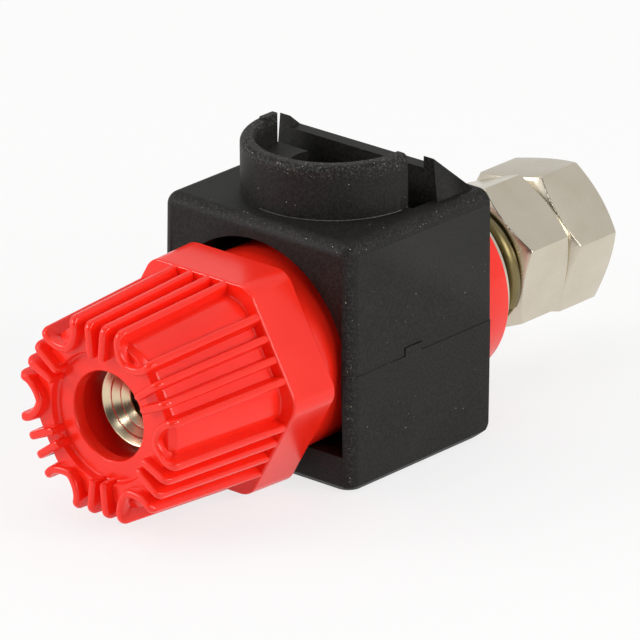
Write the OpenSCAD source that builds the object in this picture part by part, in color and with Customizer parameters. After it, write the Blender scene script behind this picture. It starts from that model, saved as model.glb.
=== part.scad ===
// Insulated clamp terminal with a 4 mm socket, made to be fixed through a panel.
// The socket axis runs along Y: the knob is in front (-Y) and the nuts are behind the panel (+Y).
// The origin lies on that axis in the panel plane, at the rear face of the housing.

/* [Housing] */
// Width of the housing
housing_w = 22.8; // [22.6:0.1:25]
// Depth of the housing, from its front face to the panel
housing_d = 19.4; // [18.6:0.1:21]
// Height of the top face above the socket axis
axis_to_top = 12.9; // [12.6:0.1:15]
// Height of the socket axis above the base
axis_to_base = 10.8; // [10.4:0.1:12]
// Radius of the arch over the front opening
opening_r = 11; // [10.8:0.1:11.4]
// Thickness of the side walls beside the front opening
side_wall = 1.05; // [0.8:0.05:1.3]
// Thickness of the bar below the front opening
floor_t = 3.45; // [3:0.05:3.7]
// Thickness of the wall against the panel
rear_wall = 3.9; // [3.4:0.1:6]
// Rounding of the front and top edges
edge_r = 1.3; // [0.8:0.1:2]
// Height of the mould parting line above the socket axis
parting_z = 0.5; // [-2:0.1:3]
// Step between the two mould halves at the parting line
parting_step = 0.06; // [0.02:0.01:0.1]

/* [Cable entry] */
// Outer radius of the half-round collar
collar_r = 8.4; // [7.8:0.1:8.8]
// Wall thickness of the collar
collar_wall = 1.2; // [1.1:0.1:1.6]
// Height of the collar above the top face
collar_h = 5.1; // [4:0.1:6]
// Depth of the ledge below the collar's rim
ledge_drop = 2.6; // [1.6:0.1:3.2]
// Width of the slot for cable lugs, along the socket axis
slot_w = 2.6; // [2:0.1:3]
// Length of the slot for cable lugs
slot_l = 17.8; // [14:0.1:18.4]
// Diameter of the hole for a bare wire
wire_hole_d = 7.4; // [6.6:0.1:7.6]
// Width of the wedge behind the slot
wedge_w = 19.2; // [18:0.1:19.8]
// Height of the ears at the ends of the wedge
ear_h = 1.15; // [0.4:0.05:1.4]
// Width of the ears
ear_w = 1.6; // [0.8:0.1:2]

/* [Knob] */
// Size of the knob's hexagonal flange across its flats
flange_af = 20.4; // [19.6:0.1:20.6]
// Length of the flange
flange_len = 5.2; // [4:0.1:6]
// Length of the knob, from its recessed front face to the back of the flange
knob_len = 17.3; // [16.8:0.1:19]
// Gap between the flange and the housing, with the clamp as photographed
knob_gap = 2.1; // [2.1:0.1:3]
// Distance from the axis to the crest of the ribs, at the front
crest_front = 9.2; // [9:0.05:9.5]
// Height of the ribs above the knob's core, beside the flange
rib_h = 0.9; // [0.7:0.05:1.1]
// Distance the ribs stand in front of the core's rim
rib_proud = 1.45; // [0.8:0.05:1.8]
// Width of a rib
rib_w = 0.8; // [0.6:0.05:0.9]
// Angle of the two middle ribs from the centre of a flat
middle_rib = 6; // [5:0.5:7]
// Angle of the two outer ribs from the centre of a flat
outer_rib = 17.5; // [16:0.5:19]
// Diameter of the hole in the front of the knob
mouth_d = 8.3; // [8.2:0.1:8.6]

/* [Stud and socket] */
// Nominal diameter of the stud's thread
thread_d = 8; // [8:0.1:8.2]
// Diameter of the socket for a plug
socket_d = 4; // [3.9:0.02:4.1]
// Depth of the socket's rim behind the knob's front face
socket_depth = 3.4; // [3.1:0.1:3.6]
// Diameter of the cross hole for a bare wire
cross_hole_d = 4.2; // [3.6:0.1:4.4]

/* [Clamp] */
// Open distance between the clamp faces, as photographed
clamp_gap = 2.2; // [2.2:0.1:3]
// Thickness of the moving pressure plate
plate_t = 1.5; // [1.2:0.1:2]
// Thickness of the fixed contact plate
contact_t = 1.4; // [1.2:0.1:2.4]
// Outer radius of the sliding sleeve
sleeve_r = 9.6; // [9.2:0.1:9.8]

/* [Rear fasteners] */
// Diameter of the insulating ring
ring_d = 18.4; // [17:0.1:19]
// Thickness of the insulating ring
ring_t = 5.2; // [4:0.1:6]
// Diameter of the flat washer
washer_d = 16.6; // [15:0.1:17]
// Thickness of the flat washer
washer_t = 1.2; // [0.8:0.1:2]
// Diameter of the spring washer
spring_d = 13; // [12.6:0.1:14.8]
// Height of the spring washer as it sits
spring_h = 3.9; // [2.4:0.1:4.4]
// Thickness of the spring washer
spring_t = 1.5; // [1.2:0.1:2.2]
// Size of the nuts across their flats
nut_af = 13; // [13:0.1:14]
// Height of a nut
nut_h = 6.5; // [6:0.1:7]
// Length of stud past the last nut
stud_free = 2; // [2:0.1:6]

/* [Hidden] */
$fn = 96;
hull_fn = 32;
black = "#2c2c2b";
red = "#e5281c";
nickel = "#c8bfab";
spring_steel = "#6e664f";

// Working clearances
eps = 0.05;
guide_gap = 0.25;
thread_gap = 0.03;
turn_gap = 0.1;
seat_gap = 0.02;
over = 1;
reach = 40;

// Places along the socket axis, from the panel forward
front_y = -housing_d;
wall_y = -rear_wall;
contact_front = wall_y - contact_t;
slot_back = contact_front - turn_gap;
slot_front = slot_back - slot_w;
plate_back = contact_front - clamp_gap;
plate_front = plate_back - plate_t;
flange_back = front_y - knob_gap;
flange_front = flange_back - flange_len;
face_y = flange_back - knob_len;

// Places along the socket axis, from the panel backward
washer_y = ring_t;
spring_y = washer_y + washer_t;
panel_nut_y = spring_y + spring_h;
lug_nut_y = panel_nut_y + nut_h;
stud_end = lug_nut_y + nut_h + stud_free;

// Housing
half_opening = housing_w / 2 - side_wall;
floor_z = floor_t - axis_to_base;
rim_z = axis_to_top + collar_h;
ledge_z = rim_z - ledge_drop;
collar_side = 0.6;
collar_y = slot_front - collar_side;
rim_round = 0.6;
wedge_drop = 1;
wedge_z = rim_z - wedge_drop;
wedge_foot_y = -0.5;
wedge_draft = 0.4;
draft = 0.15;
rear_edge_r = 0.3;
base_edge = 0.6;
tab_h = 0.2;
tab_l = 1.8;
seam_step_y = -10.8;
seam_step_l = 2.2;
seam_step_h = 0.8;

// Stud, with a hexagonal shoulder that the rear wall holds
thread_r = thread_d / 2;
shoulder_af = 13;
shoulder_t = 1.8;
hole_gap = 0.3;
stud_hole_r = thread_r + hole_gap;
wire_y = slot_back - wire_hole_d / 2;
end_chamfer = 0.8;

// Socket sleeve, screwed into the front of the stud
socket_face = face_y + socket_depth;
head_t = 1.5;
head_r = thread_r;
stud_front = socket_face + head_t;
head_edge = 0.15;
lead_in_depth = 1.7;
outer_step = 1.3;
outer_step_depth = 0.5;
inner_step = 0.7;
inner_step_depth = 1.1;
step_taper = 0.9;
sleeve_shank_r = 3;
sleeve_shank_l = 13.4;
relief_l = 6;
relief_gap = 0.2;
relief_r = socket_d / 2 + relief_gap;

// Knob core with a raised rim round its front face, and the ribs over it
face_recess = 0.25;
rim_y = face_y - face_recess;
rib_front = rim_y - rib_proud;
face_r = 6.7;
flange_draft = 0.15;
flange_round = 2;
crest_back = flange_af / 2 - flange_draft;
crest_round = 0.85;
rib_step = 0.35;
core_back = crest_back - rib_step - rib_h;
front_rib_share = 0.83;
core_front = crest_front - front_rib_share * rib_h;
core_edge = 0.7;
core_round_back = 3.2;
core_round_front = 6;
rib_root = 7.4;
rib_end = 5.8;
lobe_r = 6.95;
front_wall = 1.3;
mouth_chamfer = 0.1;
mouth_lead = 0.15;
recess_r = 5.2;

// Threaded bush moulded into the knob
insert_r = 6;
insert_cover = 3.6;
insert_front = face_y + front_wall + insert_cover;
knob_thread_l = 4.5;
thread_front = flange_back - knob_thread_l;
counterbore_gap = 0.35;
counterbore_r = thread_r + counterbore_gap;
neck_r = 5;
neck_l = 4.3;
web_t = 2.5;
ring_seat_y = flange_back + turn_gap + web_t + turn_gap;
groove_r = 4.6;
snap_t = 0.75;
snap_r = 5.9;
snap_gap = 4;
hollow_r = 6.2;

// Nuts, as they were left in the photograph
panel_nut_turn = 20.8;
lug_nut_turn = 10.2;
nut_face_inset = 0.3;
nut_face_r = nut_af / 2 - nut_face_inset;

// A solid of revolution about Y between two places, with its radius at each
module rod(r, y0, y1, r1 = undef) {
    translate([0, y0, 0])
        rotate([-90, 0, 0])
            cylinder(r1 = r, r2 = is_undef(r1) ? r : r1, h = y1 - y0);
}

// A flat shape drawn in X and Z, carried along Y between two places
module along_y(y0, y1) {
    translate([0, y1, 0])
        rotate([90, 0, 0])
            linear_extrude(y1 - y0)
                children();
}

// A hexagonal bar along Y, turned about its axis
module hex_bar(af, y0, y1, turn = 0) {
    translate([0, y0, 0])
        rotate([-90, 0, 0])
            rotate(-turn)
                cylinder(d = af / cos(30), h = y1 - y0, $fn = 6);
}

// The front opening: an arch over straight walls and a flat floor
module opening_shape(inset = 0) {
    half = half_opening - inset;
    low = floor_z + inset;
    intersection() {
        union() {
            circle(r = opening_r - inset);
            translate([-half, low])
                square([2 * half, -low]);
        }
        translate([-half, low])
            square([2 * half, reach]);
    }
}

// Four upright posts at the corners of the housing, for the hulls of its two mould halves.
// The front corners are rounded, the rear ones against the panel are nearly sharp.
module corner_posts(grow, z, h) {
    half = housing_w / 2 + grow;
    for (x = [-1, 1]) {
        translate([x * (half - edge_r), front_y - grow + edge_r, z])
            cylinder(r = edge_r, h = h, $fn = hull_fn);
        translate([x * (half - rear_edge_r), -rear_edge_r, z])
            cylinder(r = rear_edge_r, h = h, $fn = hull_fn);
    }
}

// The outer block, moulded in two halves that taper away from the parting line
module housing_block() {
    top_x = housing_w / 2 - edge_r - draft;
    top_z = axis_to_top - edge_r;
    hull() {
        corner_posts(0, parting_z, eps);
        for (x = [-top_x, top_x]) {
            translate([x, front_y + edge_r + draft, top_z])
                sphere(r = edge_r, $fn = hull_fn);
            translate([x, 0, top_z])
                rotate([90, 0, 0])
                    cylinder(r = edge_r, h = eps, $fn = hull_fn);
        }
    }
    hull() {
        corner_posts(parting_step, parting_z - eps, eps);
        corner_posts(-draft, base_edge - axis_to_base, eps);
        corner_posts(-draft - base_edge, -axis_to_base, eps);
    }
    // Step in the parting line, where the lower half reaches up on both sides
    translate([-housing_w / 2 - parting_step, seam_step_y - seam_step_l / 2, parting_z - eps])
        cube([housing_w + 2 * parting_step, seam_step_l, seam_step_h + eps]);
}

// Section of the collar's wall, with the outer edge of its rim rounded
module collar_section(low) {
    inner = collar_r - collar_wall;
    translate([inner, low])
        square([collar_wall, rim_z - rim_round - low]);
    translate([inner, rim_z - 2 * rim_round])
        square([collar_wall - rim_round, 2 * rim_round]);
    translate([collar_r - rim_round, rim_z - rim_round])
        circle(r = rim_round);
}

// Half-round collar around the cable entry: an arch in plan with short straight ends, and the ledge inside it
module collar() {
    low = axis_to_top - 2 * edge_r;
    translate([0, collar_y, 0])
        rotate(180)
            rotate_extrude(angle = 180)
                union() {
                    collar_section(low);
                    translate([0, low])
                        square([collar_r, ledge_z - low]);
                }
    along_y(collar_y, slot_front)
        for (side = [0, 1])
            mirror([side, 0])
                collar_section(low);
    translate([-collar_r, collar_y, low])
        cube([2 * collar_r, collar_side, ledge_z - low]);
    // Raised tab at the left end of the rim
    translate([-collar_r + rim_round, slot_front - tab_l, rim_z - tab_h])
        cube([collar_wall - rim_round, tab_l, 2 * tab_h]);
}

// Wedge that backs the lug slot: a sloping back, drafted ends, and an ear left standing at each end
module wedge() {
    half = wedge_w / 2;
    low = axis_to_top - edge_r;
    difference() {
        intersection() {
            translate([-half, 0, 0])
                rotate([90, 0, 90])
                    linear_extrude(wedge_w)
                        polygon([[slot_back, low], [slot_back, wedge_z], [wedge_foot_y, axis_to_top],
                            [wedge_foot_y, low]]);
            along_y(slot_back - over, over)
                polygon([[-half, low], [-half, axis_to_top], [wedge_draft - half, wedge_z],
                    [half - wedge_draft, wedge_z], [half, axis_to_top], [half, low]]);
        }
        translate([ear_w - half, slot_back - eps, wedge_z - ear_h])
            cube([wedge_w - 2 * ear_w, reach, reach]);
    }
}

// Black housing: block, collar and wedge, hollow behind the front opening
module housing() {
    color(black)
        difference() {
            union() {
                housing_block();
                collar();
                wedge();
            }
            along_y(front_y - over, wall_y)
                opening_shape();
            rod(stud_hole_r, wall_y - eps, over);
            hex_bar(shoulder_af + 2 * guide_gap, wall_y - eps, wall_y + shoulder_t);
            translate([-slot_l / 2, slot_front, 0])
                cube([slot_l, slot_w, reach]);
            translate([0, wire_y, 0])
                cylinder(d = wire_hole_d, h = reach);
        }
}

// Threaded stud that carries the current, with its cross hole and hexagonal shoulder
module contact_stud() {
    color(nickel)
        difference() {
            union() {
                rod(thread_r, stud_front, stud_end - end_chamfer);
                rod(thread_r, stud_end - end_chamfer, stud_end, thread_r - end_chamfer);
                hex_bar(shoulder_af, wall_y, wall_y + shoulder_t);
            }
            rod(sleeve_shank_r + seat_gap, stud_front - eps, stud_front + sleeve_shank_l + seat_gap);
            rod(relief_r, stud_front, stud_front + sleeve_shank_l + relief_l);
            translate([0, plate_back, -reach / 2])
                cylinder(d = cross_hole_d, h = reach);
        }
}

// Socket sleeve with a stepped lead-in for the plug
module socket_sleeve() {
    socket_r = socket_d / 2;
    color(nickel)
        difference() {
            union() {
                rod(head_r, socket_face, stud_front);
                rod(sleeve_shank_r, stud_front - eps, stud_front + sleeve_shank_l);
            }
            rod(socket_r, socket_face - eps, stud_front + sleeve_shank_l + over);
            rod(head_r - head_edge, socket_face - eps, socket_face + outer_step_depth, socket_r + outer_step);
            rod(socket_r + inner_step + step_taper, socket_face, socket_face + inner_step_depth,
                socket_r + inner_step);
            rod(socket_r + lead_in_depth, socket_face, socket_face + lead_in_depth, socket_r);
        }
}

// Plate that fills the opening's section and slides or sits on the stud
module keyed_plate(y0, y1, inset, hole_r) {
    difference() {
        along_y(y0, y1)
            opening_shape(inset);
        rod(hole_r, y0 - over, y1 + over);
    }
}

// Fixed contact plate, held square by the walls of the opening
module contact_plate() {
    color(nickel)
        keyed_plate(contact_front, wall_y, guide_gap / 2, thread_r + turn_gap);
}

// Moving pressure plate
module pressure_plate() {
    color(nickel)
        keyed_plate(plate_front, plate_back, guide_gap, stud_hole_r);
}

// Red sleeve that follows the knob without turning: round, with a flat along the opening's floor
module pressure_sleeve() {
    front = flange_back + turn_gap;
    color(red)
        difference() {
            along_y(front, plate_front)
                intersection() {
                    circle(r = sleeve_r);
                    translate([-reach / 2, floor_z + guide_gap])
                        square([reach, reach]);
                }
            rod(neck_r + turn_gap, front - over, plate_front);
            rod(hollow_r, front + web_t, plate_front + over);
        }
}

// A tapered hexagon, from the place, distance to the flats and corner rounding at each level
module hex_loft(levels) {
    hull()
        for (level = levels, k = [0:5])
            translate([0, level[0], 0])
                rotate([-90, 60 * k, 0])
                    translate([(level[1] - level[2]) / cos(30), 0, 0])
                        cylinder(r = level[2], h = eps, $fn = hull_fn);
}

// One rib in a radial plane: it runs forward from the flange, turns over the rounded edge and runs inward.
// The spread is the plane's angle from the centre of the flat that the rib's crest follows.
module rib(spread, end_r) {
    stretch = 1 / cos(spread);
    turn_over = [for (a = [0:15:90])
        [stretch * crest_front - crest_round * (1 - cos(a)), rib_front + crest_round * (1 - sin(a))]];
    side = [[rib_root, rim_y + core_edge], [rib_root, flange_front + eps],
        [stretch * (crest_back - rib_step), flange_front + eps]];
    tip = [[end_r, rib_front], [end_r, rim_y + core_edge]];
    rotate([0, -spread, 0])
        translate([0, 0, -rib_w / 2])
            linear_extrude(rib_w)
                polygon(concat(side, turn_over, tip));
}

// Two short bars on the front that join the outer ribs of neighbouring flats in a point over a corner
module lobe() {
    reach_r = crest_front / cos(outer_rib) - crest_round;
    half_angle = 30 - outer_rib;
    along = reach_r * cos(half_angle) - lobe_r;
    across = reach_r * sin(half_angle);
    along_y(rib_front, rim_y + core_edge)
        translate([lobe_r, 0])
            for (side = [-1, 1])
                rotate(side * atan2(across, along)) {
                    circle(d = rib_w);
                    translate([0, -rib_w / 2])
                        square([norm([along, across]), rib_w]);
                }
}

// Knob: a hexagonal flange, a tapered core with a raised rim, and four ribs on each flat
module knob() {
    color(red)
        difference() {
            union() {
                hex_loft([[flange_front, crest_back, flange_round],
                    [flange_back - eps, flange_af / 2, flange_round]]);
                hex_loft([[flange_front, core_back, core_round_back],
                    [rim_y + core_edge, core_front, core_round_front],
                    [rim_y, core_front - core_edge, core_round_front - core_edge]]);
                for (k = [0:5]) {
                    rotate([0, 60 * k, 0])
                        lobe();
                    rotate([0, 30 + 60 * k, 0])
                        for (side = [-1, 1]) {
                            rib(side * middle_rib, rib_end);
                            rib(side * outer_rib, rib_root);
                        }
                }
            }
            difference() {
                rod(face_r + face_recess, rim_y - eps, face_y, face_r);
                for (k = [0:5])
                    rotate([0, 30 + 60 * k, 0])
                        for (side = [-1, 1])
                            rib(side * middle_rib, rib_end);
            }
            rod(mouth_d / 2, face_y - over, insert_front);
            rod(mouth_d / 2 + mouth_chamfer, face_y - eps, face_y + mouth_lead, mouth_d / 2);
            rod(recess_r, face_y + front_wall, insert_front);
            rod(insert_r + seat_gap, insert_front - seat_gap, flange_back + over);
        }
}

// Threaded bush in the knob, with a neck that carries the sleeve
module knob_insert() {
    neck_end = flange_back + neck_l;
    color(nickel)
        difference() {
            union() {
                rod(insert_r, insert_front, flange_back);
                rod(neck_r, flange_back - eps, neck_end);
            }
            rod(counterbore_r, insert_front - over, thread_front);
            rod(thread_r + thread_gap, thread_front - eps, neck_end + over);
            difference() {
                rod(neck_r + over, ring_seat_y, ring_seat_y + snap_t + seat_gap);
                rod(groove_r, ring_seat_y - over, ring_seat_y + snap_t + over);
            }
        }
}

// Open snap ring in the neck's groove, behind the sleeve's web
module retaining_ring() {
    color(spring_steel)
        difference() {
            rod(snap_r, ring_seat_y, ring_seat_y + snap_t);
            rod(groove_r + seat_gap, ring_seat_y - over, ring_seat_y + snap_t + over);
            translate([-snap_gap / 2, ring_seat_y - over, -reach])
                cube([snap_gap, snap_t + 2 * over, reach]);
        }
}

// Plain ring with a hole, about the socket axis
module washer(r, hole_r, y0, t) {
    difference() {
        rod(r, y0, y0 + t);
        rod(hole_r, y0 - over, y0 + t + over);
    }
}

// Red insulating ring behind the panel
module insulating_ring() {
    color(red)
        washer(ring_d / 2, stud_hole_r, 0, ring_t);
}

// Flat washer
module flat_washer() {
    color(nickel)
        washer(washer_d / 2, stud_hole_r - turn_gap, washer_y, washer_t);
}

// Split spring washer: a flat bar wound into one open turn of a helix
module spring_washer() {
    steps = 60;
    span = 350;
    start = -25;
    rise = spring_h - spring_t;
    inner = stud_hole_r - turn_gap;
    outer = spring_d / 2;
    section = [[inner, 0], [outer, 0], [outer, spring_t], [inner, spring_t]];
    points = [for (i = [0:steps], c = section)
        let (a = start + span * i / steps, y = spring_y + rise * (1 - i / steps) + c[1])
            [c[0] * cos(a), y, c[0] * sin(a)]];
    sides = [for (i = [0:steps - 1], j = [0:3])
        let (n = (j + 1) % 4)
            [4 * i + j, 4 * i + n, 4 * i + 4 + n, 4 * i + 4 + j]];
    color(spring_steel)
        polyhedron(points, concat([[3, 2, 1, 0]], sides, [[for (j = [0:3]) 4 * steps + j]]));
}

// Hexagonal nut with both faces chamfered
module nut(y0, turn) {
    tip_r = nut_af / 2 / cos(30) + eps;
    drop = (tip_r - nut_face_r) * tan(30);
    difference() {
        intersection() {
            hex_bar(nut_af, y0, y0 + nut_h, turn);
            translate([0, y0, 0])
                rotate([-90, 0, 0])
                    rotate_extrude()
                        polygon([[0, 0], [nut_face_r, 0], [tip_r, drop], [tip_r, nut_h - drop],
                            [nut_face_r, nut_h], [0, nut_h]]);
        }
        rod(thread_r + thread_gap, y0 - over, y0 + nut_h + over);
    }
}

// Nut that holds the terminal in the panel
module panel_nut() {
    color(nickel)
        nut(panel_nut_y, panel_nut_turn);
}

// Nut that holds a cable lug on the rear of the stud
module lug_nut() {
    color(nickel)
        nut(lug_nut_y, lug_nut_turn);
}

housing();
contact_stud();
socket_sleeve();
contact_plate();
pressure_plate();
pressure_sleeve();
knob();
knob_insert();
retaining_ring();
insulating_ring();
flat_washer();
spring_washer();
panel_nut();
lug_nut();
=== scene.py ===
import math

import bmesh
import bpy
import numpy as np
from mathutils import Matrix, Vector


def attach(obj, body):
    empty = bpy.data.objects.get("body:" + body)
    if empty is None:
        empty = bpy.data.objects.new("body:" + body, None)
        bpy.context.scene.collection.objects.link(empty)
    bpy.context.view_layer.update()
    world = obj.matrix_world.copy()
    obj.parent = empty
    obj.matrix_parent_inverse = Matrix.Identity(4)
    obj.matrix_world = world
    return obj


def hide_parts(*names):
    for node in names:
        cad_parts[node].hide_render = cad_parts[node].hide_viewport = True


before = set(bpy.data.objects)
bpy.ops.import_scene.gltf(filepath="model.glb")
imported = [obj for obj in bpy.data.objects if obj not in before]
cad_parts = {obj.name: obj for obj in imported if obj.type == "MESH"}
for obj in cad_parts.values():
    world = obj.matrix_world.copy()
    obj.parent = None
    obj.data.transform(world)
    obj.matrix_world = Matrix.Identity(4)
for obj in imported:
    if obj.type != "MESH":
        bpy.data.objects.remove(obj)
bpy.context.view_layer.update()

scene = bpy.context.scene
scene.view_settings.view_transform = "Standard"

# Studio: a sweep of white paper that the terminal lies on, lit by large soft boxes in a pale tent.
# The tent is open, and so dark, on the side where the camera stands, in front and to the right.
# Sizes in this file are in millimetres, apart from the lamps, and MM turns them into metres.
MM = 0.001
white = "#ffffff"
floor_z = -10.8
floor_half = 3000
floor_white = "#f3f3f2"
floor_glow = 0.76
tent_level = 0.7
tent_open_level = 0.03
# cosines of the angle off the camera's direction between which the tent opens
tent_edge = 0.15
tent_opening = 0.75
camera_azimuth = math.radians(41.54)
camera_elevation = math.radians(21.60)
camera_roll = math.radians(-0.36)
camera_distance = 800
camera_target = Vector((3.45, -14.4, 2.69))
camera_lens = 500.8
lamp_target = Vector((0, -0.008, 0))


def linear(hex_colour):
    """An sRGB hex colour as a linear RGBA list."""
    channels = [int(hex_colour[i:i + 2], 16) / 255 for i in (1, 3, 5)]
    return [c / 12.92 if c <= 0.04045 else ((c + 0.055) / 1.055) ** 2.4 for c in channels] + [1.0]


def add(tree, kind, settings=None, inputs=None):
    """Adds a node with its settings; inputs are values or sockets to link, by name or number."""
    node = tree.nodes.new(kind)
    for key, value in (settings or {}).items():
        setattr(node, key, value)
    for key, value in (inputs or {}).items():
        if isinstance(value, bpy.types.NodeSocket):
            tree.links.new(value, node.inputs[key])
        else:
            node.inputs[key].default_value = value
    return node


def new_material(name):
    """An empty node material, with its tree and output node."""
    material = bpy.data.materials.new(name)
    material.use_nodes = True
    tree = material.node_tree
    tree.nodes.clear()
    return material, tree, add(tree, "ShaderNodeOutputMaterial")


camera = bpy.data.objects.new("camera", bpy.data.cameras.new("camera"))
scene.collection.objects.link(camera)
back = Vector((math.sin(camera_azimuth) * math.cos(camera_elevation),
               -math.cos(camera_azimuth) * math.cos(camera_elevation), math.sin(camera_elevation)))
level = Vector((math.cos(camera_azimuth), math.sin(camera_azimuth), 0))
upward = back.cross(level)
right = level * math.cos(camera_roll) + upward * math.sin(camera_roll)
up = upward * math.cos(camera_roll) - level * math.sin(camera_roll)
camera.matrix_world = (Matrix.Translation((camera_target + back * camera_distance) * MM)
                       @ Matrix((right, up, back)).transposed().to_4x4())
camera.data.lens = camera_lens
scene.camera = camera

world = bpy.data.worlds.new("room")
scene.world = world
world.use_nodes = True
tree = world.node_tree
tree.nodes.clear()
look = add(tree, "ShaderNodeTexCoord").outputs["Generated"]
to_camera = add(tree, "ShaderNodeVectorMath", {"operation": "DOT_PRODUCT"}, {0: look, 1: tuple(back)})
tent = add(tree, "ShaderNodeMapRange", {"interpolation_type": "SMOOTHSTEP"}, {
    "Value": to_camera.outputs["Value"], "From Min": tent_edge, "From Max": tent_opening,
    "To Min": tent_level, "To Max": tent_open_level})
room = add(tree, "ShaderNodeBackground", inputs={"Color": linear(white), "Strength": tent.outputs[0]})
add(tree, "ShaderNodeOutputWorld", inputs={"Surface": room.outputs[0]})

# name, place and size in metres, power in watts
for name, place, size, power in (
        ("overhead_box", (-0.15, -0.1, 0.8), 0.45, 0.9),
        ("left_box", (-0.6, -0.65, 0.4), 0.35, 3.2),
        ("right_box", (0.8, 0.2, 0.42), 0.35, 3.0),
        ("side_box", (0.82, -0.3, 0.3), 0.35, 1.7),
        ("front_box", (-0.25, -0.82, 0.36), 0.5, 1.2),
        ("front_window", (0.32, -0.75, 0.7), 0.07, 0.7)):
    lamp = bpy.data.objects.new(name, bpy.data.lights.new(name, "AREA"))
    lamp.data.energy = power
    lamp.data.size = size
    lamp.location = place
    lamp.rotation_euler = (lamp_target - Vector(place)).to_track_quat("-Z", "Y").to_euler()
    scene.collection.objects.link(lamp)

floor_corners = [(x * floor_half * MM, y * floor_half * MM, floor_z * MM)
                 for x, y in ((-1, -1), (1, -1), (1, 1), (-1, 1))]
floor_mesh = bpy.data.meshes.new("floor")
floor_mesh.from_pydata(floor_corners, [], [(0, 1, 2, 3)])
floor = bpy.data.objects.new("floor", floor_mesh)
scene.collection.objects.link(floor)

# White paper is matt: it shows no reflection and takes a soft grey shadow. To the camera, to metal and to
# glass it also glows a little, so that it looks white without more light on the terminal.
paper, tree, output = new_material("white_paper_sweep")
sheet = add(tree, "ShaderNodeBsdfDiffuse", inputs={"Color": linear(floor_white)})
glow = add(tree, "ShaderNodeEmission", inputs={"Color": linear(white), "Strength": 1.0})
ray = add(tree, "ShaderNodeLightPath").outputs
seen = ray["Is Camera Ray"]
for kind in ("Is Glossy Ray", "Is Transmission Ray"):
    seen = add(tree, "ShaderNodeMath", {"operation": "MAXIMUM"}, {0: seen, 1: ray[kind]}).outputs[0]
glow_share = add(tree, "ShaderNodeMath", {"operation": "MULTIPLY"}, {0: seen, 1: floor_glow})
lit = add(tree, "ShaderNodeMixShader", inputs={
    0: glow_share.outputs[0], 1: sheet.outputs[0], 2: glow.outputs[0]})
tree.links.new(lit.outputs[0], output.inputs["Surface"])
floor_mesh.materials.append(paper)

# Housing: a block of black glass-filled polyamide, moulded in two halves that meet in a seam at half height.
# It keeps the form of its solid, with the edges broken as the mould leaves them, a groove along the seam, a
# line of flash at the foot of the collar and a rounded rear edge below.
block_half = 11.4
block_front = -19.4
block_top = 12.9
collar_top = 18.0
collar_y = -8.6
collar_r = 8.4
rear_foot_r = 2.0
rear_foot_steps = 9
edge_break = 0.16
# an edge is broken where its faces turn by this angle and its neighbours are this many breaks long
break_angle = math.radians(33)
break_room = 1.6
seam_z = 0.5
seam_below = 0.2
seam_above = 1.0
groove_h = 0.1
groove_depth = 0.12
notch_y = (-11.9, -9.7)
notch_h = 0.8
cutter_spare = 1
flash_r = 0.05
# middle of the flash outside the collar and above the block, in its own radii
flash_out = 0.6
flash_up = 0.3
flash_sides = 6
flash_angles = np.radians(np.linspace(-10, 88, 41))
black_skin = "#050504"
black_worn = "#2e2c29"
# paler colour of the rubbed edges, partly wear and partly a painted sheen
black_rub_and_sheen = "#4b4842"
black_speck = "#aaa498"
skin_grain = 0.22
skin_depth = 0.03
skin_relief = 0.75
skin_rough = (0.5, 0.66)
skin_specular = 0.24
pit_range = (0.42, 0.6)
grit_range = (0.5, 0.72)
mottle_share = 0.4
blotch_size = 6
# width of the paler bands along the edges and round the collar's top: rubbed wear and painted sheen
rub_and_sheen_width = 1.1
collar_rub_and_sheen = 1.5
collar_rub_and_sheen_full = 0.2
speck_spacing = 0.21
# reach of a speck in spacings: the least, and what is added to a few large ones
speck_least = 0.077
speck_spread = 0.182
speck_rarity = 4
speck_share = 0.026
speck_share_worn = 0.65


def mesh_object(name, mesh, material):
    """Links a mesh as a finished piece."""
    mesh.materials.clear()
    mesh.materials.append(material)
    piece = bpy.data.objects.new(name, mesh)
    scene.collection.objects.link(piece)
    return piece


def smooth(mesh, crease=30):
    """Smooth shading, apart from edges sharper than the crease angle."""
    mesh.shade_smooth()
    mesh.set_sharp_from_angle(angle=math.radians(crease))


def plain_mesh(mesh, kind, settings):
    """The mesh with one modifier applied, as a new plain mesh."""
    piece = bpy.data.objects.new("work_piece", mesh)
    scene.collection.objects.link(piece)
    modifier = piece.modifiers.new("work", kind)
    for key, value in settings.items():
        setattr(modifier, key, value)
    bpy.context.view_layer.update()
    result = bpy.data.meshes.new_from_object(piece.evaluated_get(bpy.context.evaluated_depsgraph_get()))
    bpy.data.objects.remove(piece)
    return result


def combined(mesh, other_mesh, operation):
    """The mesh with another one taken away (DIFFERENCE) or welded on (UNION), as a new plain mesh."""
    other = bpy.data.objects.new("work_other", other_mesh)
    scene.collection.objects.link(other)
    result = plain_mesh(mesh, "BOOLEAN", {"operation": operation, "solver": "EXACT", "object": other})
    bpy.data.objects.remove(other)
    return result


def flat_true(mesh, crease):
    """Smooth shading in which broad flats stay flat and only the narrow roundings between them turn."""
    smooth(mesh, crease)
    return plain_mesh(mesh, "WEIGHTED_NORMAL", {"keep_sharp": True, "weight": 90, "mode": "FACE_AREA"})


def closed_mesh(name, points, faces, crease=30):
    """A mesh from points in millimetres, welded, turned outwards and shaded."""
    weld_gap = 0.0002 * MM
    mesh = bpy.data.meshes.new(name)
    mesh.from_pydata([tuple(p) for p in np.asarray(points) * MM], [], faces)
    work = bmesh.new()
    work.from_mesh(mesh)
    bmesh.ops.remove_doubles(work, verts=work.verts, dist=weld_gap)
    bmesh.ops.dissolve_degenerate(work, edges=work.edges, dist=weld_gap)
    bmesh.ops.recalc_face_normals(work, faces=work.faces)
    work.to_mesh(mesh)
    work.free()
    smooth(mesh, crease)
    return mesh


def tube_faces(rows, count):
    """Faces of a tube through rows of points, with a cap on each end."""
    faces = []
    for a in range(0, (rows - 1) * count, count):
        b = a + count
        faces += [(a + j, a + (j + 1) % count, b + (j + 1) % count, b + j) for j in range(count)]
    return faces + [tuple(range(count)), tuple(range((rows - 1) * count, rows * count))]


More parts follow.
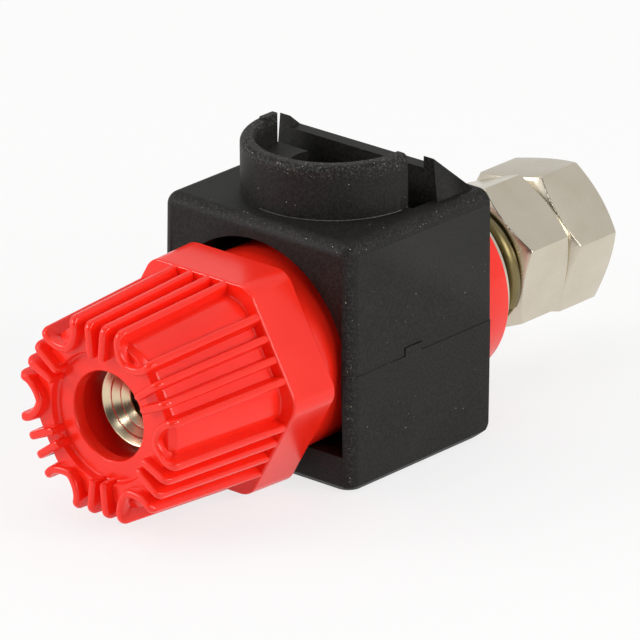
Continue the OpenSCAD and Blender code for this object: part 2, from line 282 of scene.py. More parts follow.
def crossbar(outline, start, end):
    """A straight bar across the housing, along X, over an outline of (place, height) points."""
    points = [(x, y, z) for x in (start, end) for y, z in outline]
    return closed_mesh("crossbar", points, tube_faces(2, len(outline)))


def ring_angles(count, turn=0):
    """Even angles round the axis."""
    return turn + np.arange(count) * 2 * math.pi / count


def per_mm(size):
    """Scale of a texture on object coordinates, in metres, for a feature of this size in millimetres."""
    return 1 / (size * MM)


# Black polyamide from an eroded mould has a dull, finely pitted skin, with a few pale specks of filler that
# thicken where edges are rubbed. Along the block's edges and round the top of the collar the colour is
# painted paler, partly as rubbed wear and partly as a painted sheen where light catches them.
# The grain is drawn at 0.22 mm, coarser than the real one, so that it shows.
black, tree, output = new_material("black_polyamide_eroded")
where = add(tree, "ShaderNodeTexCoord").outputs["Object"]
grain = add(tree, "ShaderNodeTexNoise", inputs={
    "Vector": where, "Scale": per_mm(skin_grain), "Detail": 2.0}).outputs[0]
blotch = add(tree, "ShaderNodeTexNoise", inputs={
    "Vector": where, "Scale": per_mm(blotch_size), "Detail": 3.0}).outputs[0]
axis = add(tree, "ShaderNodeSeparateXYZ", inputs={"Vector": where}).outputs
across = add(tree, "ShaderNodeMath", {"operation": "ABSOLUTE"}, {0: axis["X"]}).outputs[0]
off_collar = add(tree, "ShaderNodeVectorMath", {"operation": "MULTIPLY_ADD"}, {
    0: where, 1: (1, 1, 0), 2: (0, -collar_y * MM, 0)}).outputs[0]
from_collar = add(tree, "ShaderNodeVectorMath", {"operation": "LENGTH"}, {0: off_collar}).outputs["Value"]

# each mask rises from 0 to 1 while a coordinate goes from the first place to the second
masks = {}
for name, coordinate, start, end in (
        ("side", across, block_half - rub_and_sheen_width, block_half),
        ("front", axis["Y"], block_front + rub_and_sheen_width, block_front),
        ("top", axis["Z"], block_top - rub_and_sheen_width, block_top),
        ("collar_rim", axis["Z"], collar_top - collar_rub_and_sheen, collar_top - collar_rub_and_sheen_full),
        ("flash_inside", from_collar, collar_r, collar_r + flash_r / 2),
        ("flash_outside", from_collar, collar_r + 3 * flash_r, collar_r + 2.5 * flash_r),
        ("flash_foot", axis["Z"], block_top, block_top + flash_r / 4),
        ("flash_crest", axis["Z"], block_top + 3 * flash_r, block_top + 2.5 * flash_r)):
    masks[name] = add(tree, "ShaderNodeMapRange", {"interpolation_type": "SMOOTHSTEP"}, {
        "Value": coordinate, "From Min": start * MM, "From Max": end * MM}).outputs[0]
# paler edges and collar top: rubbed wear, and also a painted sheen where light catches them
wear_and_sheen = masks["collar_rim"]
for one, other in (("side", "front"), ("side", "top"), ("front", "top")):
    on_edge = add(tree, "ShaderNodeMath", {"operation": "MULTIPLY"}, {0: masks[one], 1: masks[other]})
    wear_and_sheen = add(tree, "ShaderNodeMath", {"operation": "MAXIMUM"}, {
        0: wear_and_sheen, 1: on_edge.outputs[0]}).outputs[0]
flash_band = masks["flash_inside"]
for name in ("flash_outside", "flash_foot", "flash_crest"):
    flash_band = add(tree, "ShaderNodeMath", {"operation": "MULTIPLY"}, {
        0: flash_band, 1: masks[name]}).outputs[0]

cell = add(tree, "ShaderNodeTexVoronoi", inputs={"Vector": where, "Scale": per_mm(speck_spacing)}).outputs
lot = add(tree, "ShaderNodeSeparateColor", inputs={"Color": cell["Color"]}).outputs
few_large = add(tree, "ShaderNodeMath", {"operation": "POWER"}, {0: lot["Green"], 1: speck_rarity})
speck_reach = add(tree, "ShaderNodeMath", {"operation": "MULTIPLY_ADD"}, {
    0: few_large.outputs[0], 1: speck_spread, 2: speck_least})
in_speck = add(tree, "ShaderNodeMath", {"operation": "LESS_THAN"}, {
    0: cell["Distance"], 1: speck_reach.outputs[0]})
lot_limit = add(tree, "ShaderNodeMapRange", inputs={
    "Value": wear_and_sheen, "To Min": 1 - speck_share, "To Max": 1 - speck_share_worn})
has_speck = add(tree, "ShaderNodeMath", {"operation": "GREATER_THAN"}, {
    0: lot["Red"], 1: lot_limit.outputs[0]})
specks = add(tree, "ShaderNodeMath", {"operation": "MULTIPLY"}, {
    0: in_speck.outputs[0], 1: has_speck.outputs[0]})

pits = add(tree, "ShaderNodeMapRange", inputs={
    "Value": grain, "From Min": pit_range[0], "From Max": pit_range[1]})
uneven = add(tree, "ShaderNodeMath", {"operation": "ADD"}, {0: pits.outputs[0], 1: blotch})
mottle = add(tree, "ShaderNodeMath", {"operation": "MULTIPLY"}, {0: uneven.outputs[0], 1: mottle_share})
grit = add(tree, "ShaderNodeMapRange", inputs={
    "Value": grain, "From Min": grit_range[0], "From Max": grit_range[1]})
# painted sheen and rubbed wear: the paler colour along the edges, broken up by the grain
rub_and_sheen = add(tree, "ShaderNodeMath", {"operation": "MULTIPLY"}, {0: wear_and_sheen, 1: grit.outputs[0]})
broken = add(tree, "ShaderNodeMath", {"operation": "MULTIPLY"}, {0: grain, 1: blotch})
flash_pale = add(tree, "ShaderNodeMath", {"operation": "MULTIPLY"}, {0: flash_band, 1: broken.outputs[0]})
pale = add(tree, "ShaderNodeMath", {"operation": "MAXIMUM"}, {0: specks.outputs[0], 1: flash_pale.outputs[0]})
colour = linear(black_skin)
for share, tone in ((mottle, black_worn), (rub_and_sheen, black_rub_and_sheen), (pale, black_speck)):
    colour = add(tree, "ShaderNodeMix", {"data_type": "RGBA"}, {
        0: share.outputs[0], 6: colour, 7: linear(tone)}).outputs[2]
gloss = add(tree, "ShaderNodeMapRange", inputs={
    "Value": grain, "To Min": skin_rough[0], "To Max": skin_rough[1]})
bump = add(tree, "ShaderNodeBump", inputs={
    "Height": grain, "Strength": skin_relief, "Distance": skin_depth * MM})
shader = add(tree, "ShaderNodeBsdfPrincipled", inputs={
    "Base Color": colour, "Roughness": gloss.outputs[0], "Normal": bump.outputs[0],
    "IOR": 1.5, "Specular IOR Level": skin_specular})
tree.links.new(shader.outputs[0], output.inputs["Surface"])

housing_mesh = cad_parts["housing"].data.copy()
work = bmesh.new()
work.from_mesh(housing_mesh)
bmesh.ops.remove_doubles(work, verts=work.verts, dist=0.001 * MM)
bmesh.ops.dissolve_limit(work, angle_limit=math.radians(0.5), verts=work.verts, edges=work.edges)
breaks = []
for edge in work.edges:
    if len(edge.link_faces) != 2 or edge.calc_face_angle() < break_angle:
        continue
    if all(-seam_below < v.co.z / MM - seam_z < seam_above for v in edge.verts):
        continue
    if min(e.calc_length() for v in edge.verts for e in v.link_edges) > break_room * edge_break * MM:
        breaks.append(edge)
bmesh.ops.bevel(work, geom=breaks, offset=edge_break * MM, offset_type="OFFSET", segments=3, profile=0.5,
                affect="EDGES", clamp_overlap=True)
work.to_mesh(housing_mesh)
work.free()

low, high = seam_z - groove_h / 2, seam_z + groove_h / 2
before, behind = block_front - cutter_spare, cutter_spare
upper_edge = [(behind, high), (notch_y[1] + groove_h, high), (notch_y[1] + groove_h, high + notch_h),
              (notch_y[0] - groove_h, high + notch_h), (notch_y[0] - groove_h, high), (before, high)]
lower_edge = [(before, low), (notch_y[0], low), (notch_y[0], low + notch_h),
              (notch_y[1], low + notch_h), (notch_y[1], low), (behind, low)]
for hand in (-1, 1):
    groove = crossbar(upper_edge + lower_edge, hand * (block_half - groove_depth),
                      hand * (block_half + cutter_spare))
    housing_mesh = combined(housing_mesh, groove, "DIFFERENCE")
below = floor_z - cutter_spare
foot_arc = [(rear_foot_r * (math.cos(t) - 1), floor_z + rear_foot_r * (1 - math.sin(t)))
            for t in np.linspace(0, math.pi / 2, rear_foot_steps)]
foot_outline = [(behind, below), (behind, floor_z + rear_foot_r)] + foot_arc + [(-rear_foot_r, below)]
foot_cutter = crossbar(foot_outline, -block_half - cutter_spare, block_half + cutter_spare)
housing_mesh = combined(housing_mesh, foot_cutter, "DIFFERENCE")
flash_points = []
for angle in flash_angles:
    for turn in ring_angles(flash_sides):
        reach = collar_r + flash_r * (flash_out + math.cos(turn))
        flash_points.append((reach * math.sin(angle), collar_y - reach * math.cos(angle),
                             block_top + flash_r * (flash_up + math.sin(turn))))
flash = closed_mesh("flash", flash_points, tube_faces(len(flash_angles), flash_sides))
housing_mesh = flat_true(combined(housing_mesh, flash, "UNION"), 40)
housing = mesh_object("housing_shell", housing_mesh, black)
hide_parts("housing")
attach(housing, "terminal")

# Stud: an M8 brass stud, turned, threaded and nickel plated, held by a hexagon in the housing's rear wall.
# The wire goes through a cross hole in front of the contact plate.
stud_front = -33.9
stud_end = 25.3
stud_tip_chamfer = 0.8
stud_tip_step = 0.3
thread_r = 4.0
thread_root = 3.36
thread_pitch = 1.25
thread_start = -2.1
thread_run_in = 0.1
thread_rows = 10
# a flank in depths of the thread: its slope, and how much of it the root's flat takes
thread_slope = 1.35
thread_root_flat = 0.1
shoulder_front = -3.9
shoulder_af = 13
shoulder_corner = 0.2
socket_seat_r = 3.02
socket_seat_end = -20.48
relief_r = 2.2
relief_end = -14.5
relief_point = 1.2
cross_hole_y = -7.5
cross_hole_r = 2.1
drill_half = 6
drill_sides = 40
nickel_pale = "#ddd5c5"
nickel_warm = "#cbc1ac"
nickel_cloud = 3
nickel_rough = (0.22, 0.3)
nickel_relief = 0.025
nickel_depth = 0.01
turned_marks = (4, 0.12, 4)
drawn_marks = (0.15, 6, 0.15)


def nickel(name, marks_size, pale=nickel_pale, warm=nickel_warm):
    """Nickel plating on brass, with tool marks of a size in millimetres along X, Y and Z."""
    material, tree, output = new_material(name)
    where = add(tree, "ShaderNodeTexCoord").outputs["Object"]
    along = add(tree, "ShaderNodeMapping", inputs={"Vector": where, "Scale": [per_mm(s) for s in marks_size]})
    marks = add(tree, "ShaderNodeTexNoise", inputs={"Vector": along.outputs[0], "Scale": 1.0, "Detail": 3.0})
    cloud = add(tree, "ShaderNodeTexNoise", inputs={
        "Vector": where, "Scale": per_mm(nickel_cloud), "Detail": 3.0})
    tint = add(tree, "ShaderNodeMix", {"data_type": "RGBA"}, {
        0: cloud.outputs[0], 6: linear(pale), 7: linear(warm)})
    gloss = add(tree, "ShaderNodeMapRange", inputs={
        "Value": marks.outputs[0], "To Min": nickel_rough[0], "To Max": nickel_rough[1]})
    bump = add(tree, "ShaderNodeBump", inputs={
        "Height": marks.outputs[0], "Strength": nickel_relief, "Distance": nickel_depth * MM})
    shader = add(tree, "ShaderNodeBsdfPrincipled", inputs={
        "Base Color": tint.outputs[2], "Metallic": 1.0, "Roughness": gloss.outputs[0],
        "Normal": bump.outputs[0]})
    tree.links.new(shader.outputs[0], output.inputs["Surface"])
    return material


# Satin nickel is a warm grey metal with soft, slightly clouded reflections. Turned parts have fine marks
# round the axis, and drawn hexagon bar has them along it. Both are drawn coarser than the real marks.
turned_nickel = nickel("nickel_plated_brass_turned", turned_marks)
drawn_nickel = nickel("nickel_plated_brass_drawn_hexagon", drawn_marks)


def hexagon(angles, apothem, corner, turn=0):
    """Distance from the axis to a hexagon with rounded corners, at each angle; a corner lies at the turn."""
    from_corner = np.abs((angles - turn + math.pi / 6) % (math.pi / 3) - math.pi / 6)
    flat = apothem / np.cos(math.pi / 6 - from_corner)
    centre = (apothem - corner) / math.cos(math.pi / 6)
    inside = np.maximum(corner ** 2 - (centre * np.sin(from_corner)) ** 2, 0)
    round_r = centre * np.cos(from_corner) + np.sqrt(inside)
    on_flat = apothem * np.tan(math.pi / 6 - from_corner) <= (apothem - corner) * math.tan(math.pi / 6)
    return np.where(on_flat, flat, round_r)


def hoop(angles, r, y):
    """One ring for skin(); its distance and its place are one number, or one for each angle."""
    count = len(angles)
    return np.stack([np.broadcast_to(r, count), np.broadcast_to(y, count)], 1).astype(float)


def rounded(angles, corners, steps=4, closed=True):
    """Rings for skin() through the corners of an outline; a corner is its distance, place and rounding."""
    side_share = 0.45
    stack = [hoop(angles, r, y) for r, y, _ in corners]
    rings = []
    for k, (_, _, reach) in enumerate(corners):
        here, before, after = stack[k], stack[k - 1], stack[(k + 1) % len(stack)]
        if reach == 0 or (not closed and k in (0, len(corners) - 1)):
            rings.append(here)
            continue
        sides = []
        for other in (before, after):
            step = other - here
            length = np.maximum(np.linalg.norm(step, axis=1, keepdims=True), 1e-9)
            sides.append(here + step / length * np.minimum(reach, side_share * length))
        for s in np.linspace(0, 1, steps):
            rings.append((1 - s) ** 2 * sides[0] + 2 * s * (1 - s) * here + s ** 2 * sides[1])
    return rings


def skin(name, angles, rings, closed=True, crease=30):
    """A mesh round the socket axis through rings of (distance, place) at each angle."""
    count = len(angles)
    points = np.concatenate([np.stack([r * np.cos(angles), y, r * np.sin(angles)], 1)
                             for r, y in (ring.T for ring in rings)])
    faces = []
    for i in range(len(rings) if closed else len(rings) - 1):
        a, b = i * count, (i + 1) % len(rings) * count
        faces += [(a + j, a + (j + 1) % count, b + (j + 1) % count, b + j) for j in range(count)]
    return closed_mesh(name, points, faces, crease)


around = ring_angles(96)
shoulder = hexagon(around, shoulder_af / 2, shoulder_corner)
front_rings = rounded(around, [
    (0, relief_end + relief_point, 0), (relief_r, relief_end, 0), (relief_r, socket_seat_end, 0),
    (socket_seat_r, socket_seat_end, 0), (socket_seat_r, stud_front, 0.1), (thread_r, stud_front, 0.3),
    (thread_r, shoulder_front, 0), (shoulder, shoulder_front, 0.2), (shoulder, thread_start, 0.2),
    (thread_r, thread_start, 0)], closed=False)
thread_rings = []
for y in np.arange(thread_start + thread_run_in, stud_end, thread_pitch / thread_rows):
    phase = (y / thread_pitch + around / (2 * math.pi)) % 1
    ridge = np.clip(thread_slope * (1 - np.abs(2 * phase - 1)) - thread_root_flat, 0, 1)
    run_out = np.clip((stud_end - y) / stud_tip_chamfer, 0, 1)
    limit = thread_r - stud_tip_chamfer * (1 - run_out)
    thread_rings.append(hoop(around, np.minimum(thread_root + (thread_r - thread_root) * ridge, limit), y))
tip = [hoop(around, r, stud_end) for r in (thread_root - stud_tip_step, 0)]
stud_mesh = skin("contact_stud", around, front_rings + thread_rings + tip, closed=False)
drill_angles = ring_angles(drill_sides)
drill_outline = ((0, -drill_half), (cross_hole_r, -drill_half), (cross_hole_r, drill_half), (0, drill_half))
drill = skin("cross_hole", drill_angles, [hoop(drill_angles, r, h) for r, h in drill_outline], closed=False)
drill.transform(Matrix.Translation((0, cross_hole_y * MM, 0)) @ Matrix.Rotation(math.pi / 2, 4, "X"))
stud_mesh = combined(stud_mesh, drill, "DIFFERENCE")
smooth(stud_mesh)
stud = mesh_object("threaded_stud", stud_mesh, turned_nickel)
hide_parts("contact_stud")
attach(stud, "terminal")

# Socket sleeve: a turned brass bush, nickel plated, screwed into the front of the stud.
# Its mouth steps down in three cones to the 4 mm bore that takes the plug.
socket_face = -35.4
socket_r = 2.0
head_r = 4.0
head_land = 0.15
shank_r = 3.0
shank_end = -20.5
# corners of the mouth: distance outside the bore, depth below the face and rounding
lead_in = ((0, 1.7, 0.08), (0.64, 1.18, 0.03), (0.7, 1.1, 0.04), (1.24, 0.6, 0.03), (1.3, 0.5, 0.04))
socket_pale = "#f2e6c8"
socket_warm = "#d8c199"

# The plating is thinner and brighter here, so the brass below tints the reflections yellow
socket_nickel = nickel("nickel_plated_brass_socket", turned_marks, socket_pale, socket_warm)
socket_outline = [(socket_r, shank_end, 0.1)]
socket_outline += [(socket_r + out, socket_face + depth, rounding) for out, depth, rounding in lead_in]
socket_outline += [(head_r - head_land, socket_face, 0.08), (head_r, socket_face, 0.06),
                   (head_r, stud_front, 0.1), (shank_r, stud_front, 0.05), (shank_r, shank_end, 0.2)]
socket_mesh = skin("socket_sleeve", around, rounded(around, socket_outline), crease=40)
socket = mesh_object("socket_bush", socket_mesh, socket_nickel)
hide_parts("socket_sleeve")
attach(socket, "terminal")

# Clamp faces: two stamped brass plates, nickel plated, keyed to the walls of the opening.
# The rear one is fixed, and the front one is pushed by the sleeve. They show only through the cable entry.
for name in ("contact_plate", "pressure_plate"):
    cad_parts[name].data.materials.clear()
    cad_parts[name].data.materials.append(drawn_nickel)

# Pressure sleeve: a red polyamide tube with a flat below, which follows the knob into the housing.
# It slides in the opening without turning.
sleeve_front = -21.4
sleeve_back = -9.0
sleeve_r = 9.6
sleeve_flat = 7.1
sleeve_neck_r = 5.1
sleeve_hollow_r = 6.2
sleeve_web = 2.5
red_body = "#f62212"
red_light = "#fd2e1c"
red_flow = 5
red_grain = 0.25
red_depth = 0.01
red_relief = 0.04
red_rough = (0.16, 0.26)
red_specular = 0.4

# Red polyamide from a polished mould has an even, strong colour and a semi-gloss that varies a little with
# the flow of the melt. The grain of the skin is drawn coarser than the real one.
red, tree, output = new_material("red_polyamide_moulded")
where = add(tree, "ShaderNodeTexCoord").outputs["Object"]
flow = add(tree, "ShaderNodeTexNoise", inputs={"Vector": where, "Scale": per_mm(red_flow), "Detail": 2.0})
fine = add(tree, "ShaderNodeTexNoise", inputs={"Vector": where, "Scale": per_mm(red_grain), "Detail": 2.0})
colour = add(tree, "ShaderNodeMix", {"data_type": "RGBA"}, {
    0: flow.outputs[0], 6: linear(red_body), 7: linear(red_light)})
gloss = add(tree, "ShaderNodeMapRange", inputs={
    "Value": flow.outputs[0], "To Min": red_rough[0], "To Max": red_rough[1]})
bump = add(tree, "ShaderNodeBump", inputs={
    "Height": fine.outputs[0], "Strength": red_relief, "Distance": red_depth * MM})
shader = add(tree, "ShaderNodeBsdfPrincipled", inputs={
    "Base Color": colour.outputs[2], "Roughness": gloss.outputs[0], "Normal": bump.outputs[0],
    "IOR": 1.53, "Specular IOR Level": red_specular})
tree.links.new(shader.outputs[0], output.inputs["Surface"])

flat_side = math.asin(sleeve_flat / sleeve_r)
flat_ends = np.array([math.pi + flat_side, 2 * math.pi - flat_side])
sleeve_angles = np.sort(np.concatenate([ring_angles(144), flat_ends]) % (2 * math.pi))
# only the lower half can meet the flat
downward = np.minimum(np.sin(sleeve_angles), -0.01)
sleeve_outer = np.minimum(sleeve_r, -sleeve_flat / downward)
sleeve_mesh = skin("pressure_sleeve", sleeve_angles, rounded(sleeve_angles, [
    (sleeve_neck_r, sleeve_front, 0.1), (sleeve_outer, sleeve_front, 0.25), (sleeve_outer, sleeve_back, 0.2),
    (sleeve_hollow_r, sleeve_back, 0.1), (sleeve_hollow_r, sleeve_front + sleeve_web, 0.1),
    (sleeve_neck_r, sleeve_front + sleeve_web, 0.1)]))
sleeve = mesh_object("pressure_tube", sleeve_mesh, red)
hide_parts("pressure_sleeve")
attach(sleeve, "clamp")

# Knob: a red polyamide moulding with a hexagonal flange, a tapered core and a rim round its recessed face.
# Each flat has four grip ribs. The middle ones run over the rim and stop short of the mouth, and the outer
# ones of neighbouring flats are one rib each, bent round the corner on the front.
knob_sides = 6
face_y = -38.8
mouth_r = 4.15
mouth_chamfer = (0.1, 0.15)
lip_depth = 1.3
recess_r = 5.2
bush_r = 6.02
bush_front = -33.92
rim_y = -39.58
rim_inner_r = 6.15
rim_draft = 0.1
rim_apothem = 7.58
rim_corner = 5.3
rim_chamfer_h = 0.53
core_front = 8.12
core_back = 8.8
core_front_corner = 5.6
core_back_corner = 3.2
core_foot = -38.5
flange_front = -26.7
flange_back = -21.5
flange_front_r = 10.05
flange_back_r = 10.2
flange_corner = 2
rib_front = -40.5
rib_sunk = 0.3
rib_half = 0.39
rib_draft = 0.14
rib_root = 7.4
rib_end = 5.8
rib_steps = 9
middle_rib = math.radians(6)
outer_rib = math.radians(17.5)
crest_front = 9.2
crest_back = 9.98
crest_turn = 0.85
crest_edge = 0.3
crest_edge_most = 0.8
foot_r = 7.9
foot_slope = 0.1
# the last stations of a blunt end: how much narrower each half is, how much lower the crest, and how far
# the last but one is from the end
blunt_narrow = (0, 0.08, 0.2)
blunt_drop = (0, 0.08, 0.25)
blunt_step = 0.09
lobe_r = 6.95
lobe_pull = 0.45
bend_pull = 0.9
bend_steps = 13

knob_angles = ring_angles(360)
core_start = rim_y + rim_chamfer_h
core_rows = []
for s in np.linspace(0.1, 0.9, 7):
    apothem = core_front + (core_back - core_front) * s
    corner = core_front_corner + (core_back_corner - core_front_corner) * s
    core_rows.append((hexagon(knob_angles, apothem, corner), core_start + (flange_front - core_start) * s, 0))
core_mesh = skin("knob_core", knob_angles, rounded(knob_angles, [
    (mouth_r + mouth_chamfer[0], face_y, 0.06), (rim_inner_r - rim_draft, face_y, 0.25),
    (rim_inner_r, rim_y, 0.08), (hexagon(knob_angles, rim_apothem, rim_corner), rim_y, 0.1),
    (hexagon(knob_angles, core_front, core_front_corner), core_start, 0.12)] + core_rows + [
    (hexagon(knob_angles, core_back, core_back_corner), flange_front, 0.15),
    (hexagon(knob_angles, flange_front_r, flange_corner), flange_front, 0.25),
    (hexagon(knob_angles, flange_back_r, flange_corner), flange_back, 0.14),
    (bush_r, flange_back, 0.1), (bush_r, bush_front, 0), (recess_r, bush_front, 0),
    (recess_r, face_y + lip_depth, 0), (mouth_r, face_y + lip_depth, 0.08),
    (mouth_r, face_y + mouth_chamfer[1], 0.06)], steps=6))
forward = np.array([0, -1, 0])


def polar(r, angle, y):
    """A point from its distance, angle and place."""
    return np.array([r * math.cos(angle), y, r * math.sin(angle)])


def rib_side(angle, spread):
    """Crest, upward direction and foot of a rib from the flange to the front, at an angle round the axis."""
    stretch = 1 / math.cos(spread)
    start, end = flange_front + rib_sunk, rib_front + crest_turn
    stations = []
    for s in np.linspace(0, 1, rib_steps):
        y = start + (end - start) * s
        r = stretch * (crest_back + (crest_front - crest_back) * s)
        foot = polar(rib_root, angle, max(y, core_foot + foot_slope))
        stations.append((polar(r, angle, y), polar(1, angle, 0), foot))
    for s in np.linspace(0, 1, rib_steps)[1:]:
        turn = s * math.pi / 2
        crest = polar(stretch * crest_front - crest_turn * (1 - math.cos(turn)), angle,
                      rib_front + crest_turn * (1 - math.sin(turn)))
        foot = polar(rib_root + (foot_r - rib_root) * s, angle, core_foot + foot_slope * (1 - s))
        stations.append((crest, polar(math.cos(turn), angle, 0) + math.sin(turn) * forward, foot))
    return stations


def rib_mesh(stations, blunt):
    """Points and faces of a rib through its stations, with broken crest edges and, if asked, a blunt end."""
    crests, ups, feet = (np.array(part) for part in zip(*stations))
    sides = np.cross(np.gradient(crests, axis=0), ups)
    sides /= np.linalg.norm(sides, axis=1, keepdims=True)
    halves = np.full(len(crests), rib_half)
    drops = np.zeros(len(crests))
    if blunt:
        halves[-len(blunt_narrow):] -= blunt_narrow
        drops[-len(blunt_drop):] = blunt_drop
    quarter = [(1 - math.cos(t), 1 - math.sin(t)) for t in np.linspace(0, math.pi / 2, 5)]
    section = [(-1, None, 0)] + [(-1, inset, depth) for inset, depth in quarter]
    section += [(1, inset, depth) for inset, depth in reversed(quarter)] + [(1, None, 0)]
    points = []
    for crest, up, foot, side, half, drop in zip(crests, ups, feet, sides, halves, drops):
        edge = min(crest_edge, crest_edge_most * half)
        flare = rib_draft * (1 - abs(up[1]))
        for hand, inset, depth in section:
            if inset is None:
                points.append(foot + hand * (half + flare) * side)
            else:
                points.append(crest + hand * (half - inset * edge) * side - (drop + depth * edge) * up)
    return points, tube_faces(len(crests), len(section))


corner_half = math.pi / knob_sides - outer_rib
half_bend = rib_side(-corner_half, outer_rib)
bend_start = half_bend[-1][0]
bend_points = [bend_start, bend_start + polar(-bend_pull, -corner_half, 0),
               np.array([lobe_r, rib_front, -lobe_pull]), np.array([lobe_r, rib_front, 0])]
for s in np.linspace(0, 1, bend_steps)[1:]:
    weights = ((1 - s) ** 3, 3 * s * (1 - s) ** 2, 3 * s ** 2 * (1 - s), s ** 3)
    crest = sum(w * p for w, p in zip(weights, bend_points))
    inward = min(1, foot_r / np.hypot(crest[0], crest[2]))
    half_bend.append((crest, forward, np.array([crest[0] * inward, core_foot, crest[2] * inward])))
mirror = np.array([1, 1, -1])
whole_bend = half_bend + [tuple(part * mirror for part in station) for station in reversed(half_bend[:-1])]
rib_group = [rib_mesh(whole_bend, False)]
for spread in (-middle_rib, middle_rib):
    angle = math.pi / knob_sides + spread
    stations = rib_side(angle, spread)
    turned_crest = stations[-1][0]
    run = list(np.linspace(np.hypot(turned_crest[0], turned_crest[2]), rib_end + crest_edge, 8)[1:])
    for r in run + [rib_end + blunt_step, rib_end]:
        stations.append((polar(r, angle, rib_front), forward, polar(min(r, foot_r), angle, core_foot)))
    rib_group.append(rib_mesh(stations, True))
rib_points, rib_faces = [], []
for points, faces in rib_group:
    rib_faces += [tuple(i + len(rib_points) for i in face) for face in faces]
    rib_points += points
ribs_mesh = closed_mesh("rib_set", rib_points, rib_faces)

# Geometry Nodes set the ribs of one corner round the axis and weld them to the core
rib_ring = bpy.data.node_groups.new("rib_ring", "GeometryNodeTree")
for label, kind in (("Ribs", "NodeSocketGeometry"), ("Core", "NodeSocketObject"), ("Sides", "NodeSocketInt"),
                    ("Material", "NodeSocketMaterial")):
    rib_ring.interface.new_socket(label, in_out="INPUT", socket_type=kind)
rib_ring.interface.new_socket("Knob", in_out="OUTPUT", socket_type="NodeSocketGeometry")
given = add(rib_ring, "NodeGroupInput").outputs
spots = add(rib_ring, "GeometryNodePoints", inputs={"Count": given["Sides"]})
one_side = add(rib_ring, "ShaderNodeMath", {"operation": "DIVIDE"}, {0: 2 * math.pi, 1: given["Sides"]})
index = add(rib_ring, "GeometryNodeInputIndex")
turned = add(rib_ring, "ShaderNodeMath", {"operation": "MULTIPLY"}, {
    0: index.outputs[0], 1: one_side.outputs[0]})
spin = add(rib_ring, "ShaderNodeCombineXYZ", inputs={"Y": turned.outputs[0]})
copies = add(rib_ring, "GeometryNodeInstanceOnPoints", inputs={
    "Points": spots.outputs[0], "Instance": given["Ribs"], "Rotation": spin.outputs[0]})
plain = add(rib_ring, "GeometryNodeRealizeInstances", inputs={"Geometry": copies.outputs[0]})
core = add(rib_ring, "GeometryNodeObjectInfo", inputs={"Object": given["Core"]})
weld = add(rib_ring, "GeometryNodeMeshBoolean", {"operation": "UNION", "solver": "MANIFOLD"}, {
    "Mesh 2": plain.outputs[0]})
rib_ring.links.new(core.outputs["Geometry"], weld.inputs["Mesh 2"])
dressed = add(rib_ring, "GeometryNodeSetMaterial", inputs={
    "Geometry": weld.outputs[0], "Material": given["Material"]})
add(rib_ring, "NodeGroupOutput", inputs={"Knob": dressed.outputs[0]})

core_object = bpy.data.objects.new("knob_core", core_mesh)
ribs_object = bpy.data.objects.new("rib_set", ribs_mesh)
scene.collection.objects.link(core_object)
scene.collection.objects.link(ribs_object)
maker = ribs_object.modifiers.new("rib_ring", "NODES")
maker.node_group = rib_ring
settings = {"Core": core_object, "Sides": knob_sides, "Material": red}
for item in rib_ring.interface.items_tree:
    if item.in_out == "INPUT" and item.name in settings:
        maker[item.identifier] = settings[item.name]
bpy.context.view_layer.update()
knob_mesh = bpy.data.meshes.new_from_object(ribs_object.evaluated_get(bpy.context.evaluated_depsgraph_get()))
ribs_object.modifiers.clear()
bpy.data.objects.remove(ribs_object)
bpy.data.objects.remove(core_object)
knob_mesh = flat_true(knob_mesh, 30)
knob = mesh_object("ribbed_knob", knob_mesh, red)
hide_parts("knob")
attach(knob, "handle")

# Bush and snap ring inside the knob: a threaded brass bush that the knob is moulded on, and an open ring of
# spring steel in its groove, which keeps the sleeve on the bush's neck.
steel_dark = "#5f563e"
steel_gold = "#9a8a5c"
steel_marks = (2, 0.15, 2)
steel_rough = (0.28, 0.42)

# Passivated spring steel is a dull olive gold, streaked along the drawn wire. The streaks are drawn coarser
# than the real ones.
steel, tree, output = new_material("spring_steel_passivated")
where = add(tree, "ShaderNodeTexCoord").outputs["Object"]
drawn = add(tree, "ShaderNodeMapping", inputs={"Vector": where, "Scale": [per_mm(s) for s in steel_marks]})
marks = add(tree, "ShaderNodeTexNoise", inputs={"Vector": drawn.outputs[0], "Scale": 1.0, "Detail": 3.0})
colour = add(tree, "ShaderNodeMix", {"data_type": "RGBA"}, {
    0: marks.outputs[0], 6: linear(steel_dark), 7: linear(steel_gold)})
gloss = add(tree, "ShaderNodeMapRange", inputs={
    "Value": marks.outputs[0], "To Min": steel_rough[0], "To Max": steel_rough[1]})
shader = add(tree, "ShaderNodeBsdfPrincipled", inputs={
    "Base Color": colour.outputs[2], "Metallic": 1.0, "Roughness": gloss.outputs[0]})
tree.links.new(shader.outputs[0], output.inputs["Surface"])
for name, material in (("knob_insert", turned_nickel), ("retaining_ring", steel)):
    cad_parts[name].data.materials.clear()
    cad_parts[name].data.materials.append(material)

# Insulating ring: a plain moulded ring of the knob's red polyamide.
# It slips over the stud and insulates it behind the panel, and its rear edge is the more rounded one.
ring_bore_r = 4.3
ring_r = 9.2
ring_back = 5.2
ring_round = ring_angles(180)
ring_mesh = skin("insulating_ring", ring_round, rounded(ring_round, [
    (ring_bore_r, 0, 0.15), (ring_r, 0, 0.2), (ring_r, ring_back, 0.3), (ring_bore_r, ring_back, 0.15)]))
ring_piece = mesh_object("red_ring", ring_mesh, red)
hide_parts("insulating_ring")
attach(ring_piece, "terminal")

# Flat washer: stamped brass, nickel plated, with one edge rolled over by the punch.
# It lies loose on the stud, and spreads the nut's load over the red ring.
washer_bore_r = 4.2
washer_r = 8.3
washer_back = 6.4
washer_round = ring_angles(120)
washer_mesh = skin("flat_washer", washer_round, rounded(washer_round, [
    (washer_bore_r, ring_back, 0.1), (washer_r, ring_back, 0.1), (washer_r, washer_back, 0.3),
    (washer_bore_r, washer_back, 0.2)]))
washer = mesh_object("plain_washer", washer_mesh, turned_nickel)
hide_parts("flat_washer")
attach(washer, "terminal")

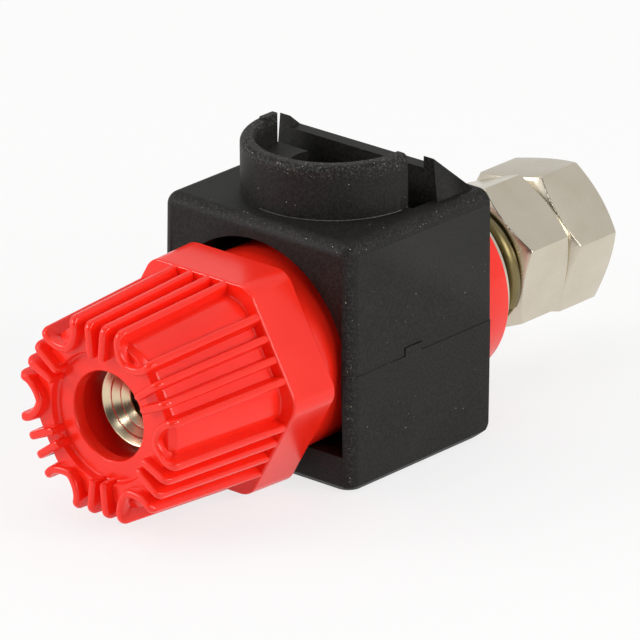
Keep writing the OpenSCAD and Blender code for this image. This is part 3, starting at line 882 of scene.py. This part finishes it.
# Spring washer: spring steel bar wound into one open turn and passivated to a dull olive gold.
# Its ends stand apart along the stud, and the nut presses them together.
spring_rise = 2.7
spring_bore_r = 4.2
spring_r = 6.5
spring_thick = 1.2
inner_break = 0.15
outer_break = 0.2
coil_start = -25
coil_sweep = 350
coil_steps = 141
coil_angles = np.radians(coil_start + np.linspace(0, coil_sweep, coil_steps))
bar_section = [
    (spring_bore_r, inner_break), (spring_bore_r + inner_break, 0), (spring_r - outer_break, 0),
    (spring_r, outer_break), (spring_r, spring_thick - outer_break), (spring_r - outer_break, spring_thick),
    (spring_bore_r + inner_break, spring_thick), (spring_bore_r, spring_thick - inner_break)]
coil_points = []
for i, angle in enumerate(coil_angles):
    lift = washer_back + spring_rise * (1 - i / (coil_steps - 1))
    coil_points += [polar(r, angle, lift + h) for r, h in bar_section]
coil_mesh = closed_mesh("spring_washer", coil_points, tube_faces(coil_steps, len(bar_section)), 50)
coil = mesh_object("split_washer", coil_mesh, steel)
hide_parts("spring_washer")
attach(coil, "terminal")

# Nuts: two M8 nuts cut from drawn hexagon brass, chamfered on both faces and nickel plated.
# The first holds the terminal in the panel, the second clamps a cable lug.
nut_af = 13
nut_h = 6.5
nut_face_r = 6.2
nut_corner = 0.15
nut_bore_r = 4.03
nut_mouth_r = 4.5
nut_mouth_h = 0.6
# node, piece, front face and turn in degrees
for node_name, piece_name, front, degrees in (
        ("panel_nut", "front_nut", 10.3, 20.8),
        ("lug_nut", "rear_nut", 16.8, 10.2)):
    turn = math.radians(degrees)
    rear = front + nut_h
    nut_angles = ring_angles(216, turn)
    side = hexagon(nut_angles, nut_af / 2, nut_corner, turn)
    drop = (side - nut_face_r) * math.tan(math.pi / 6)
    nut_mesh = skin(node_name, nut_angles, rounded(nut_angles, [
        (nut_bore_r, front + nut_mouth_h, 0.05), (nut_mouth_r, front, 0.08), (nut_face_r, front, 0.1),
        (side, front + drop, 0.08), (side, rear - drop, 0.08), (nut_face_r, rear, 0.1),
        (nut_mouth_r, rear, 0.08), (nut_bore_r, rear - nut_mouth_h, 0.05)]), crease=35)
    nut = mesh_object(piece_name, nut_mesh, drawn_nickel)
    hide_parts(node_name)
    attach(nut, "terminal")
